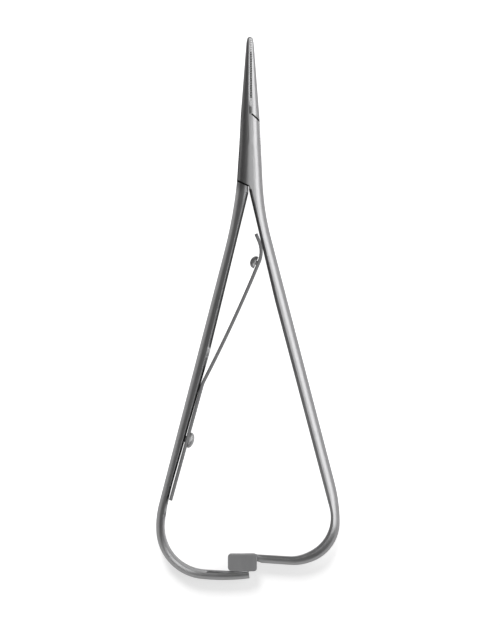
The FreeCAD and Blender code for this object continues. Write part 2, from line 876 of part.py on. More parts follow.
def stadium(half_length, radius):
    """Slot outline: two straight sides joined by half circles, along local x."""
    normal = Vector(0, 0, 1)
    right = Part.ArcOfCircle(Part.Circle(Vector(half_length, 0, 0), normal, radius),
                             -math.pi / 2, math.pi / 2)
    left = Part.ArcOfCircle(Part.Circle(Vector(-half_length, 0, 0), normal, radius),
                            math.pi / 2, 3 * math.pi / 2)
    return [right, Part.LineSegment(right.EndPoint, left.StartPoint), left,
            Part.LineSegment(left.EndPoint, right.StartPoint)]


def make_leaf_spring():
    body = new_body("leaf_spring")
    start = leaf_start()
    profile = new_sketch(body, "leaf_section",
                         rectangle(size("leaf_thickness") / 2, size("leaf_width") / 2),
                         upright(start.point, start.heading))
    sweep(body, "leaf", "PartDesign::AdditivePipe", profile, leaf_path(start))
    hole = size("spring_screw_shank") / 2 + size("leaf_hole_clearance")
    seat = spring_screw_seat()
    seat.heading -= 90.0
    outline = new_sketch(body, "screw_hole_outline", [circle(hole)], side_plane(seat))
    pocket(body, "screw_hole", outline, length="Sizes.leaf_thickness * 3")
    slot = new_sketch(body, "guide_slot_outline",
                      stadium(size("guide_slot_length") / 2,
                              size("guide_shank") / 2 + size("leaf_hole_clearance")),
                      side_plane(guide_crossing()))
    pocket(body, "guide_slot", slot, length="Sizes.leaf_thickness * 3")
    return body


def make_screw(label, seat, names, lift):
    """Domed, slotted screw turned about its own axis, set on a seat point with its head out."""
    body = new_body(label)
    diameter, height, shank, length = names
    head, dome = size(diameter) / 2, size(height)
    rim = dome * 0.35
    stem = size(shank) / 2
    rise = dome - rim
    radius = (head ** 2 + rise ** 2) / (2 * rise)
    middle = math.asin(head / radius) / 2
    edges = [
        Part.LineSegment(Vector(-size(length), 0, 0), Vector(-size(length), stem, 0)),
        Part.LineSegment(Vector(-size(length), stem, 0), Vector(0, stem, 0)),
        Part.LineSegment(Vector(0, stem, 0), Vector(0, head, 0)),
        Part.LineSegment(Vector(0, head, 0), Vector(rim, head, 0)),
        Part.Arc(Vector(rim, head, 0),
                 Vector(dome - radius * (1 - math.cos(middle)), radius * math.sin(middle), 0),
                 Vector(dome, 0, 0)),
        Part.LineSegment(Vector(dome, 0, 0), Vector(-size(length), 0, 0)),
    ]
    profile = new_sketch(body, label + "_profile", edges)
    turned = body.newObject("PartDesign::Revolution", label + "_turned")
    turned.Profile = profile
    turned.ReferenceAxis = (profile, ["H_Axis"])
    turned.Angle = 360.0
    groove = [Part.LineSegment(Vector(*first, 0), Vector(*second, 0)) for first, second in (
        ((dome - size("driver_depth"), -FAR), (dome + size("driver_spare"), -FAR)),
        ((dome + size("driver_spare"), -FAR), (dome + size("driver_spare"), FAR)),
        ((dome + size("driver_spare"), FAR), (dome - size("driver_depth"), FAR)),
        ((dome - size("driver_depth"), FAR), (dome - size("driver_depth"), -FAR)))]
    sketch = new_sketch(body, label + "_driver_outline", groove)
    pocket(body, label + "_driver", sketch, length="Sizes.driver_width")
    angle = math.radians(seat.heading)
    body.Placement = Placement(Vector(seat.point[0] + lift * math.cos(angle),
                                      seat.point[1] + lift * math.sin(angle),
                                      size("depth") / 2),
                               Rotation(Vector(0, 0, 1), seat.heading))
    return body


def make_spring_screw():
    names = ("spring_screw_head", "spring_screw_dome", "spring_screw_shank",
             "spring_screw_length")
    return make_screw("spring_screw", spring_screw_seat(), names,
                      size("leaf_thickness") / 2 + size("head_gap"))


def make_guide_screw():
    names = ("guide_head", "guide_dome", "guide_shank", "guide_length")
    return make_screw("guide_screw", guide_screw_seat(), names, size("guide_standoff"))


def tap(body, name, seat, shank, depth):
    """Blind hole for a screw's shank, sunk from a handle's inner face along the screw's axis."""
    point = Trail(seat.point, seat.heading + 180.0).line(size(depth) / 2).point
    outline = new_sketch(body, name + "_outline", [circle(size(shank) / 2)],
                         upright(point, seat.heading))
    pocket(body, name, outline, length=f"Sizes.{depth}")


def check(document):
    """Stop if any object failed to compute."""
    for item in document.Objects:
        if "Invalid" in item.State or "Error" in item.State:
            raise RuntimeError(f"{item.Name} failed: {item.State}")


def export(body):
    shape = body.Shape
    if shape.isNull() or not shape.isValid():
        raise RuntimeError(f"{body.Label} has no valid shape")
    shape.exportStep(f"parts/{body.Label}.step")
    print(body.Label, "solids", len(shape.Solids), "faces", len(shape.Faces),
          "volume", round(shape.Volume, 2), shape.BoundBox)


def main():
    makers = (make_box_half, make_through_half, make_joint_pin, make_leaf_spring,
              make_spring_screw, make_guide_screw)
    bodies = [maker() for maker in makers]
    DOC.recompute()
    check(DOC)
    os.makedirs("parts", exist_ok=True)
    for body in bodies:
        export(body)


main()
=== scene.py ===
import math

import bmesh
import bpy
import numpy as np
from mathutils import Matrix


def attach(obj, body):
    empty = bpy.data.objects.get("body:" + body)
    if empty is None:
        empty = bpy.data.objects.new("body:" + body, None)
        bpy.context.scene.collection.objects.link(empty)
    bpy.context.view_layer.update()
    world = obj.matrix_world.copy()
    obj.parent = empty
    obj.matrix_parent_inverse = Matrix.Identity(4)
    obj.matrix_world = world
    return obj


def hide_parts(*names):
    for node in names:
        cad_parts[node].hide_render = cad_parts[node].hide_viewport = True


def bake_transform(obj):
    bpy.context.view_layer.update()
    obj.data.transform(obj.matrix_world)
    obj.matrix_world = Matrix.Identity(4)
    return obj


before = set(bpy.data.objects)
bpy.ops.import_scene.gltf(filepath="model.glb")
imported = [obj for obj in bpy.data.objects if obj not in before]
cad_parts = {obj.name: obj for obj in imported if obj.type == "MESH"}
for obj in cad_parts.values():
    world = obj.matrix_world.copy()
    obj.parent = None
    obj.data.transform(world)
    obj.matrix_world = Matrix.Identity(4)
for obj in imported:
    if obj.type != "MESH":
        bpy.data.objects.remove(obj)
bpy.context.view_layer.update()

MM = 0.001

# The photograph's frame: 0.258 mm to a pixel, with the joint's pin at pixel 250, 152.
PIXEL = 0.258 * MM
FRAME_WIDTH, FRAME_HEIGHT = 500, 625
PIN_PIXEL = (250.0, 152.0)
CAMERA_HEIGHT = 1.5
SENSOR = 36.0

THROUGH_SIDE = "through_side"
BOX_SIDE = "box_side"

# Places that the finishes and the shapes share, in millimetres: the middle plane above the table,
# the line where the jaws part, the height on the middle line and slope in degrees of the two
# shoulders where the halves meet, and the catch block's right side and top edge.
MIDDLE_Z = 2.66
PARTING_X = 0.26
UPPER_SHOULDER = (10.05, 41.6)
LOWER_SHOULDER = (-8.79, 24.7)
BLOCK_RIGHT, BLOCK_TOP = 1.8, -103.63


# Shader sums.

# How far the box's normal leans outwards for each millimetre of x.
CROWN_SLOPE = 0.34
BEVEL_SAMPLES = 6
WEAR_GAIN = 6.0


class Value:
    """A shader socket that can be used in ordinary arithmetic."""

    def __init__(self, paint, socket):
        self.paint = paint
        self.socket = socket

    def _sum(self, operation, first, second):
        return self.paint.node("ShaderNodeMath", {"operation": operation}, {0: first, 1: second})

    def __add__(self, other):
        return self._sum("ADD", self, other)

    __radd__ = __add__

    def __sub__(self, other):
        return self._sum("SUBTRACT", self, other)

    def __rsub__(self, other):
        return self._sum("SUBTRACT", other, self)

    def __mul__(self, other):
        return self._sum("MULTIPLY", self, other)

    __rmul__ = __mul__

    def __truediv__(self, other):
        return self._sum("DIVIDE", self, other)

    def __abs__(self):
        return self.paint.node("ShaderNodeMath", {"operation": "ABSOLUTE"}, {0: self})

    def sign(self):
        return self.paint.node("ShaderNodeMath", {"operation": "SIGN"}, {0: self})

    def wave(self, length):
        """Triangle wave that goes from 0 up to 1 and back over a length."""
        return self.paint.node("ShaderNodeMath", {"operation": "PINGPONG"},
                               {0: self, 1: length / 2}) / (length / 2)

    def clamped(self):
        return self.paint.node("ShaderNodeClamp", {}, {0: self})


class Paint:
    """One material and the nodes that are added to it."""

    def __init__(self, name):
        self.material = bpy.data.materials.new(name)
        self.material.use_nodes = True
        self.nodes = self.material.node_tree.nodes
        self.links = self.material.node_tree.links
        self.nodes.clear()

    def node(self, kind, settings, sockets, output=0):
        """Add a node, set it up, feed its sockets, and give back one of its outputs."""
        made = self.nodes.new(kind)
        for name, value in settings.items():
            if name == "stops":
                for stop, (position, shade) in zip(ramp_stops(made, len(value)), value):
                    stop.position = position
                    stop.color = (shade, shade, shade, 1.0)
            else:
                setattr(made, name, value)
        for key, value in sockets.items():
            if isinstance(value, Value):
                self.links.new(value.socket, made.inputs[key])
            else:
                made.inputs[key].default_value = value
        return Value(self, made.outputs[output])

    def place(self, scale):
        """Object coordinates in millimetres, stretched by three factors."""
        spot = self.node("ShaderNodeTexCoord", {}, {}, output="Object")
        factor = [axis / MM for axis in scale]
        return self.node("ShaderNodeMapping", {}, {"Vector": spot, "Scale": factor})

    def axes(self):
        """Object x, y and z in millimetres as three values."""
        place = self.place((1, 1, 1))
        return [self.node("ShaderNodeSeparateXYZ", {}, {0: place}, output=name)
                for name in ("X", "Y", "Z")]

    def crown_normal(self):
        """Normal of the crowned box near the pin, which leans outwards in step with x."""
        x, _, _ = self.axes()
        true = self.node("ShaderNodeNewGeometry", {}, {}, output="Normal")
        side = self.node("ShaderNodeSeparateXYZ", {}, {0: true}, output="Z").sign()
        crown = self.node("ShaderNodeCombineXYZ", {}, {0: x * CROWN_SLOPE, 1: 0.0, 2: side})
        return self.node("ShaderNodeVectorMath", {"operation": "NORMALIZE"}, {0: crown})

    def tilted(self, normal, lean_x, lean_y):
        """A normal leaned towards x and y by two slopes."""
        lean = self.node("ShaderNodeCombineXYZ", {}, {0: lean_x, 1: lean_y, 2: 0.0})
        both = self.node("ShaderNodeVectorMath", {"operation": "ADD"}, {0: normal, 1: lean})
        return self.node("ShaderNodeVectorMath", {"operation": "NORMALIZE"}, {0: both})

    def noise(self, place, scale, detail=2.0, roughness=0.5):
        """Smooth random field from 0 to 1, with features about 1/scale across."""
        return self.node("ShaderNodeTexNoise", {}, {"Vector": place, "Scale": scale,
                                                    "Detail": detail, "Roughness": roughness})

    def ramp(self, value, stops):
        return self.node("ShaderNodeValToRGB", {"stops": stops}, {"Fac": value})

    def colour(self, amount, low, high):
        """Colour between two, by an amount from 0 to 1. The low one may be a socket."""
        first = low if isinstance(low, Value) else (*low, 1.0)
        return self.node("ShaderNodeMix", {"data_type": "RGBA"},
                         {0: amount, 6: first, 7: (*high, 1.0)}, output=2)

    def edge_wear(self, radius):
        """1 on an edge sharper than the radius and 0 on flat metal: how far a rounded normal
        leans from the true one."""
        rounded = self.node("ShaderNodeBevel", {"samples": BEVEL_SAMPLES}, {"Radius": radius})
        true = self.node("ShaderNodeNewGeometry", {}, {}, output="Normal")
        both = self.node("ShaderNodeVectorMath", {"operation": "DOT_PRODUCT"},
                         {0: rounded, 1: true}, output="Value")
        return ((1.0 - both) * WEAR_GAIN).clamped()

    def finish(self, **sockets):
        """Close the material with the shader and its output."""
        bump = sockets.pop("bump", None)
        leans = sockets.pop("leans", None)
        if bump is not None:
            height, distance, radius = bump
            rounded = self.node("ShaderNodeBevel", {"samples": BEVEL_SAMPLES}, {"Radius": radius})
            if leans is not None:
                keep, lean_x, lean_y = leans
                rounded = self.node("ShaderNodeMix", {"data_type": "VECTOR"},
                                    {0: keep, 4: self.crown_normal(), 5: rounded}, output=1)
                rounded = self.tilted(rounded, lean_x, lean_y)
            sockets["Normal"] = self.node("ShaderNodeBump", {}, {
                "Height": height, "Strength": 1.0, "Distance": distance, "Normal": rounded})
        shader = self.node("ShaderNodeBsdfPrincipled", {},
                           {name.replace("_", " "): value for name, value in sockets.items()})
        self.links.new(shader.socket, self.nodes.new("ShaderNodeOutputMaterial").inputs[0])
        return self.material


def ramp_stops(node, count):
    while len(node.color_ramp.elements) < count:
        node.color_ramp.elements.new(0.5)
    return node.color_ramp.elements


# Finishes. Places are in millimetres in the frame, and leans are in degrees.

# Painted shade in the seam beside each shoulder, in place of the shadow in the gap: side, distance
# of its middle from the line, half width, first x.
SHOULDER_SEAMS = ((UPPER_SHOULDER, 1.0, 0.1, 0.14, 0.0),
                  (LOWER_SHOULDER, -1.0, 0.15, 0.18, 0.15))
SEAM_SOFT = 0.1
# Painted shade down the relief between the jaws, from the shoulder up to the teeth.
RELIEF_SEAM_X, RELIEF_SEAM_HALF = 0.16, 0.25
RELIEF_SEAM_ENDS, RELIEF_SEAM_FADES = (9.7, 12.2), (0.3, 0.8)
# Painted shade along the inner edges of the handles, where they face the gap and the leaf: a point
# on the edge, its lean, the ends and fades along y, then the offset, half width and soft border of
# the band and how strong it is.
INNER_LINES = (((-0.28, -9.75), 13.2, (-45.0, -8.8), (30.0, 0.5), 0.0, 0.3, 0.3, 0.8),
               ((-0.42, -10.6), -13.7, (-52.0, -9.5), (3.0, 2.0), 0.15, 0.25, 0.15, 0.45),
               ((-10.8094, -53.0629), -15.8, (-92.0, -54.0), (3.0, 2.0), 0.15, 0.25, 0.15, 0.9))
# Colour of the painted seam shade, and the seams' roughness.
SEAM_SHADE_COLOUR = (0.03, 0.03, 0.03)
SEAM_ROUGH = 0.3
# Painted shade on the left flank of the head, which faces away from the light: where it starts
# going up, its half width there and how fast that tapers, the shares of it between which the shade
# grows, and the shade's colour.
FLANK_START, FLANK_FADE = -10.5, 2.0
FLANK_WIDTH, FLANK_TAPER = 3.0, 0.052
FLANK_INNER, FLANK_OUTER = 0.3, 0.9
FLANK_STRENGTH, FLANK_SHADE_COLOUR = 0.7, (0.12, 0.12, 0.122)
BLOCK_SOFT, BLOCK_PAST = 0.3, 0.1
BLOCK_STEEL = (0.27, 0.27, 0.275)
# How the fields of the blasted steel are stretched along x, y and z, and their scales.
EVEN, DRAWN_CLOUD, DRAWN_SCUFF = (1, 1, 1), (1, 0.35, 1), (1.6, 0.12, 1.6)
GRAIN_SCALE, CLOUD_SCALE, SCUFF_SCALE = 7.0, 0.28, 4.5
SCUFF_STOPS = ((0.66, 0.0), (0.74, 1.0))
BLAST_DEPTH = 0.006 * MM
# Radii over which edges are rounded in the shading, and how much an edge is rubbed.
FORGING_EDGE, PIN_EDGE, SMALL_EDGE = 0.12 * MM, 0.02 * MM, 0.1 * MM
WORN_LIGHT, WORN_SMOOTH = 0.3, 0.1
# Around the pin the forgings' edges count as neither worn nor rounded.
PIN_REACH, PIN_FADE = 1.5, 0.4
# Toothed line between the jaws: its pitch and start, the groove that the normal leans into, and
# the painted shade of the slot, which swings from narrow to wide with the teeth.
TOOTH_PITCH = 0.62
TEETH_START, TEETH_FADE = 12.0, 1.5
GROOVE_OFFSET, GROOVE_HALF, GROOVE_SOFT = 0.3, 0.3, 0.08
GROOVE_LEAN, TOOTH_LEAN = 0.5, 0.9
SLOT_OFFSET, SLOT_NARROW, SLOT_SWING, SLOT_SOFT = 0.02, 0.04, 0.2, 0.05
TURNED_SCALE, TURNED_DEPTH = 5.0, 0.004 * MM
STREAK_SCALE, PATCH_SCALE, DRAWN_STREAK = 2.0, 0.5, (3.0, 0.25, 3.0)
STREAK_DEPTH = 0.008 * MM


def blasted(paint, roughness):
    """Tone, roughness, height and clouds of bead-blasted steel: a fine even grain, cloudiness in
    its polish and a few hairline scuffs."""
    grain = paint.noise(paint.place(EVEN), GRAIN_SCALE, 3.0, 0.6)
    cloud = paint.noise(paint.place(DRAWN_CLOUD), CLOUD_SCALE, 3.0, 0.55)
    scuff = paint.ramp(paint.noise(paint.place(DRAWN_SCUFF), SCUFF_SCALE), SCUFF_STOPS)
    tone = 0.35 + 0.3 * cloud + 0.2 * grain + 0.12 * scuff
    polish = roughness + 0.1 * (cloud - 0.5) + 0.06 * (grain - 0.5) + 0.05 * scuff
    return tone, polish, grain * 0.75 + scuff * -0.25, cloud


def pin_steel(name, dark, light, roughness):
    """The pin's end, ground flush with the box and blasted with it."""
    paint = Paint(name)
    tone, polish, height, _ = blasted(paint, roughness)
    return paint.finish(Base_Color=paint.colour(tone.clamped(), dark, light), Metallic=1.0,
                        Roughness=polish.clamped(), bump=(height, BLAST_DEPTH, PIN_EDGE),
                        leans=(0.0, 0.0, 0.0))


def band(value, half, soft):
    """1 within half a width of zero, fading to 0 over a soft border."""
    return ((half + soft - abs(value)) / soft).clamped()


def window(value, ends, fades):
    """1 between two ends, rising from the first and falling to the second over two lengths."""
    return (((value - ends[0]) / fades[0]).clamped()
            * ((ends[1] - value) / fades[1]).clamped())


def beside_shoulder(x, y, shoulder):
    """Signed distance of a plan point above a slanted shoulder line."""
    height, slope = shoulder
    lean = math.radians(slope)
    return (y - height) * math.cos(lean) + x * math.sin(lean)


def painted_seam_shade(x, y):
    """Painted shade where the halves meet, in place of the shadow in their gaps: along both
    shoulders, up the relief to the teeth, and down the inner edges of the handles."""
    shade_share = (band(x - RELIEF_SEAM_X, RELIEF_SEAM_HALF, SEAM_SOFT)
            * window(y, RELIEF_SEAM_ENDS, RELIEF_SEAM_FADES))
    for shoulder, sign, middle, half, first in SHOULDER_SEAMS:
        reach = ((x * sign - first) / SEAM_SOFT + 0.5).clamped()
        away = beside_shoulder(x, y, shoulder)
        shade_share = shade_share + band(away - sign * middle, half, SEAM_SOFT) * reach
    for point, slope, ends, fades, offset, half, soft, strength in INNER_LINES:
        lean = math.radians(slope)
        inner = (x - point[0]) * math.cos(lean) + (y - point[1]) * math.sin(lean)
        shade_share = shade_share + band(inner + offset, half, soft) * window(y, ends, fades) * strength
    return shade_share.clamped()


def painted_flank_shade(x, y):
    """How much painted shade a point gets on the left flank of the head and jaws, the side that
    faces
    away from the light: 0 up to a third of the half width, and most at the edge."""
    width = FLANK_WIDTH - (y - FLANK_START) * FLANK_TAPER
    over = ((x * -1.0) / width - FLANK_INNER) / (FLANK_OUTER - FLANK_INNER)
    return over.clamped() * ((y - FLANK_START) / FLANK_FADE).clamped() * FLANK_STRENGTH


def forged_steel(name, dark, light, roughness, block=False):
    """Bead-blasted stainless steel of the two halves, with rubbed edges, and painted shade in the
    seams where they meet, in the slot between the jaws and on the head's left flank. Along the
    parting of the jaws the normal leans into a shallow toothed groove, and the catch block is a
    darker grey."""
    paint = Paint(name)
    x, y, _ = paint.axes()
    tone, polish, height, cloud = blasted(paint, roughness)
    off_pin = ((abs(x) + abs(y) - PIN_REACH) / PIN_FADE).clamped()
    worn = paint.edge_wear(FORGING_EDGE) * off_pin
    # Painted shade in the seams where the halves meet.
    seams = painted_seam_shade(x, y)
    jaws = ((y - TEETH_START) / TEETH_FADE).clamped()
    off_middle = x - PARTING_X
    groove = band(off_middle + GROOVE_OFFSET, GROOVE_HALF, GROOVE_SOFT) * jaws
    teeth = y.wave(TOOTH_PITCH)
    # Painted shade in the slot between the jaws, in place of the groove's shadow.
    painted_slot_shade = band(off_middle + SLOT_OFFSET, SLOT_NARROW + SLOT_SWING * teeth, SLOT_SOFT) * jaws
    steel = paint.colour((tone + WORN_LIGHT * worn).clamped(), dark, light)
    if block:
        inside = (((BLOCK_TOP - y) / BLOCK_SOFT).clamped()
                  * ((BLOCK_RIGHT + BLOCK_PAST - x) / BLOCK_SOFT).clamped())
        steel = paint.colour(inside * (0.75 + 0.3 * cloud), steel, BLOCK_STEEL)
    # Painted shade on the head's left flank.
    steel = paint.colour(painted_flank_shade(x, y), steel, FLANK_SHADE_COLOUR)
    # Painted shade in the seams and in the slot between the jaws.
    steel = paint.colour((seams + painted_slot_shade).clamped(), steel, SEAM_SHADE_COLOUR)
    polish = (polish - WORN_SMOOTH * worn + SEAM_ROUGH * seams).clamped()
    return paint.finish(Base_Color=steel, Metallic=1.0, Roughness=polish,
                        bump=(height, BLAST_DEPTH, FORGING_EDGE),
                        leans=(off_pin, groove * GROOVE_LEAN, groove * (teeth - 0.5) * TOOTH_LEAN))


def turned_steel(name, dark, light, roughness):
    """Lathe-turned and polished steel with a fine blotchy grain."""
    paint = Paint(name)
    grain = paint.noise(paint.place(EVEN), TURNED_SCALE, 3.0, 0.6)
    tone = (0.3 + 0.4 * grain + WORN_LIGHT * paint.edge_wear(SMALL_EDGE)).clamped()
    polish = (roughness + 0.12 * (grain - 0.5)).clamped()
    return paint.finish(Base_Color=paint.colour(tone, dark, light), Metallic=1.0,
                        Roughness=polish, bump=(grain, TURNED_DEPTH, SMALL_EDGE))


def spring_strip(name, dark, light, roughness):
    """Rolled spring strip: streaks along its length, darker scale patches and rubbed edges."""
    paint = Paint(name)
    streak = paint.noise(paint.place(DRAWN_STREAK), STREAK_SCALE, 3.0, 0.6)
    patch = paint.noise(paint.place(EVEN), PATCH_SCALE)
    worn = paint.edge_wear(SMALL_EDGE)
    tone = (0.1 + 0.45 * streak + 0.3 * patch + WORN_LIGHT * worn).clamped()
    polish = (roughness + 0.16 * (streak - 0.5)).clamped()
    return paint.finish(Base_Color=paint.colour(tone, dark, light), Metallic=1.0,
                        Roughness=polish, bump=(streak, STREAK_DEPTH, SMALL_EDGE))


# Forged halves and pin.

# Half widths and half depth of the closed head at its stations, from the tip down, in millimetres.
STATION_Y = (29.67, 9.6, 1.5, -7.5)
RIGHT_HALF = (0.86, 2.4, 2.8, 3.24)
LEFT_HALF = (0.86, 2.4, 2.8, 3.38)
HALF_DEPTH = (0.8, 2.3, MIDDLE_Z, MIDDLE_Z)
FULL_DEPTH = MIDDLE_Z
# Radius of the plain section's round edges, the share of the half width that the crown is
# reckoned to, and the least square under a root.
CROWN = 2.7
EDGE_SHARE = 0.985
LEAST_SQUARE = 1e-6
# How the right edge runs out below the box.
NECK_LEAN, NECK_CURVE = 0.049, 0.0072
# Where the crown fades in: between two heights on the box half, and over a rise above the lower
# shoulder on the through half.
CROWN_ENDS = (-15.0, -6.5)
THROUGH_CROWN_RISE = 3.0
SHOULDER_GAP, SEAM_WIDENING = 0.14, 0.1
RELIEF_TOP = 11.7
RELIEF_HALF, CLOSED_RELIEF_HALF = 0.225, 0.03
# Half the slot's depth, and how near the head's edge a point of a cheek's rim lies.
SLOT_HALF, RIM_REACH = 0.96, 0.3
# A point within this distance of a face lies on it.
TOUCH = 0.01
# The left handle's inner edge, as runs of a length or of a radius and a turn in degrees; the
# bevel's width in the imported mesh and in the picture, and how far off it a point may lie.
LEFT_INNER_START, LEFT_INNER_HEADING = (-0.42, -10.6), -103.7
LEFT_INNER_RUNS = ((41.7, 0.0), (55.0, -2.1), (33.0315, 0.0), (74.3, 8.2), (11.1, 94.4),
                   (13.0, 0.0))
LEFT_INNER_TOP = -9.0
WIDE_BEVEL, NARROW_BEVEL = 0.72, 0.2
BEVEL_SLACK, BEVEL_PAST = 0.1, 0.08
# The arm comes down to the block between two places along x, below a height.
ARM_DROP, ARM_FROM, ARM_TOP = 0.35, (16.0, 10.0), -100.0
BLOCK_HALF_DEPTH = 2.5
TIP_ROUND, TIP_HALF, TIP_FROM = 0.75, 0.87, (28.0, 29.6)
# Longest edges allowed above a height: fine for the head and coarser for the handles.
EDGE_RULES = ((-17.0, 0.55), (-200.0, 1.6))
HALVINGS = 6
MERGE = 0.001 * MM
FORGING_CREASE = math.radians(32.0)


def station(values, y):
    """A head size at heights y: straight lines between the stations, level past their ends."""
    return np.interp(y, STATION_Y[::-1], values[::-1])


def smooth_step(low, high, value):
    """0 at and beyond the first value, 1 at and beyond the second, 3t^2 - 2t^3 between."""
    share = np.clip((value - low) / (high - low), 0.0, 1.0)
    return share * share * (3.0 - 2.0 * share)


def half_width(x, y):
    """Distance from the middle to the head's edge on the side of x. Below the box the right
    edge runs out as lean * drop + curve * drop squared."""
    drop = np.maximum(STATION_Y[-1] - y, 0.0)
    right = station(RIGHT_HALF, y) + NECK_LEAN * drop + NECK_CURVE * drop ** 2
    return np.where(x > 0.0, right, station(LEFT_HALF, y))


def crown_factor(x, y):
    """Height of a full ellipse across the head, depth * sqrt(1 - (x / half)^2), over that of the
    plain section, a flat between two round edges."""
    half, depth = half_width(x, y), station(HALF_DEPTH, y)
    across = np.minimum(np.abs(x), EDGE_SHARE * half)
    round_edge = CROWN * depth / FULL_DEPTH
    beyond = np.maximum(across - (half - round_edge), 0.0)
    plain = np.minimum(np.sqrt(np.maximum(round_edge ** 2 - beyond ** 2, LEAST_SQUARE)), depth)
    return depth * np.sqrt(1.0 - (across / half) ** 2) / plain


def open_seams(points):
    """Set the through half's two shoulders back a little further, square to their lines."""
    x, y = points[:, 0], points[:, 1]
    for shoulder, sign in ((UPPER_SHOULDER, 1.0), (LOWER_SHOULDER, -1.0)):
        away = sign * beside_shoulder(x, y, shoulder)
        on_line = np.abs(away - SHOULDER_GAP) < TOUCH
        lean = math.radians(shoulder[1])
        points[on_line, 0] += sign * SEAM_WIDENING * math.sin(lean)
        points[on_line, 1] += sign * SEAM_WIDENING * math.cos(lean)


def close_relief(points, side):
    """Bring one wall of the relief under the teeth in until only a seam is left, its foot sliding
    along the shoulder."""
    x, y = points[:, 0], points[:, 1]
    wall = PARTING_X + side * RELIEF_HALF
    above = beside_shoulder(x, y, UPPER_SHOULDER)
    on_wall = (np.abs(x - wall) < TOUCH) & (y < RELIEF_TOP + TOUCH) & (above > -TOUCH)
    moved = side * (RELIEF_HALF - CLOSED_RELIEF_HALF)
    foot = on_wall & (above < SHOULDER_GAP + SEAM_WIDENING + 2 * TOUCH)
    points[foot, 1] += moved * math.tan(math.radians(UPPER_SHOULDER[1]))
    points[on_wall, 0] -= moved


def carry_cheeks_out(points):
    """Bring the cheeks' rims beside the slot out to the head's own edge, so its outline runs on
    smoothly past the tongue."""
    x, y, z = points[:, 0].copy(), points[:, 1], points[:, 2]
    half = half_width(x, y)
    rim = (np.abs(np.abs(z - FULL_DEPTH) - SLOT_HALF) < 2 * TOUCH) & (np.abs(x) > half - RIM_REACH)
    rim &= (y > STATION_Y[-1]) & (y < UPPER_SHOULDER[0])
    points[rim, 0] = np.sign(x[rim]) * half[rim]


def narrow_bevel(points):
    """Draw the left handle's inner bevels in: points on the border of a flat go towards the
    inner edge, and points on the border of the inner face go towards the flat."""
    line, angle = run_line(LEFT_INNER_START, LEFT_INNER_HEADING, LEFT_INNER_RUNS)
    normal = np.stack([np.sin(angle), -np.cos(angle)], 1)
    low = np.flatnonzero(points[:, 1] < LEFT_INNER_TOP)
    steps = points[low, None, :2] - line[None, :, :]
    nearest = np.argmin((steps ** 2).sum(2), 1)
    away = -(steps[np.arange(len(low)), nearest] * normal[nearest]).sum(1)
    up = points[low, 2] - FULL_DEPTH
    deep = FULL_DEPTH - np.abs(up)
    on_bevel = ((np.abs(away + deep - WIDE_BEVEL) < BEVEL_SLACK)
                & (away > -BEVEL_PAST) & (deep > -BEVEL_PAST))
    spot, away, deep, up = low[on_bevel], away[on_bevel], deep[on_bevel], up[on_bevel]
    share = 1.0 - NARROW_BEVEL / WIDE_BEVEL
    points[spot, :2] += (share * away)[:, None] * normal[nearest[on_bevel]]
    points[spot, 2] += np.sign(up) * share * deep


def lower_arm(points):
    """Let the arm down onto the block's top edge, the block itself left where it is."""
    x, y = points[:, 0], points[:, 1]
    share = smooth_step(*ARM_FROM, x) * (y < ARM_TOP)
    proud = np.abs(points[:, 2] - FULL_DEPTH) > BLOCK_HALF_DEPTH + 0.1 * TOUCH
    proud |= y > BLOCK_TOP + TOUCH
    points[:, 1] -= ARM_DROP * share * ((x > BLOCK_RIGHT) | proud)


def round_tip(points):
    """Round the jaws' end: it falls away from the middle as a circle does."""
    x, y = points[:, 0], points[:, 1]
    across = np.minimum(np.abs(x) / TIP_HALF, 0.99)
    fall = TIP_ROUND * (1.0 - np.sqrt(1.0 - across ** 2))
    points[:, 1] -= fall * smooth_step(*TIP_FROM, y)


def reshape(points, node):
    """Draw the copy's details in, then crown the head right across: heights from the middle
    plane are multiplied by the crown factor, which fades out down the handles."""
    round_tip(points)
    if node == "box_half":
        close_relief(points, -1.0)
        lower_arm(points)
        carry_cheeks_out(points)
    if node == "through_half":
        close_relief(points, 1.0)
        open_seams(points)
        narrow_bevel(points)
    x, y = points[:, 0], points[:, 1]
    if node == "through_half":
        share = smooth_step(0.0, THROUGH_CROWN_RISE, beside_shoulder(x, y, LOWER_SHOULDER))
    else:
        share = smooth_step(*CROWN_ENDS, y)
    factor = 1.0 + share * (crown_factor(x, y) - 1.0)
    points[:, 2] = FULL_DEPTH + (points[:, 2] - FULL_DEPTH) * factor


def refine(mesh, rules):
    """Merge the loose triangles, then halve each edge that is longer than the rule for where it
    lies allows, until none is."""
    work = bmesh.new()
    work.from_mesh(mesh)
    bmesh.ops.remove_doubles(work, verts=work.verts, dist=MERGE)
    for lowest, longest in rules:
        for _ in range(HALVINGS):
            edges = [edge for edge in work.edges if edge.calc_length() > longest * MM
                     and min(corner.co.y for corner in edge.verts) > lowest * MM]
            if not edges:
                break
            bmesh.ops.subdivide_edges(work, edges=edges, cuts=1, use_grid_fill=True)
            faces = [face for face in work.faces if len(face.verts) > 3]
            bmesh.ops.triangulate(work, faces=faces)
    bmesh.ops.dissolve_degenerate(work, edges=work.edges, dist=MERGE / 2)
    work.to_mesh(mesh)
    work.free()


def add_piece(name, mesh, material):
    """A new object with the mesh and one material."""
    mesh.materials.clear()
    mesh.materials.append(material)
    piece = bpy.data.objects.new(name, mesh)
    bpy.context.scene.collection.objects.link(piece)
    return piece


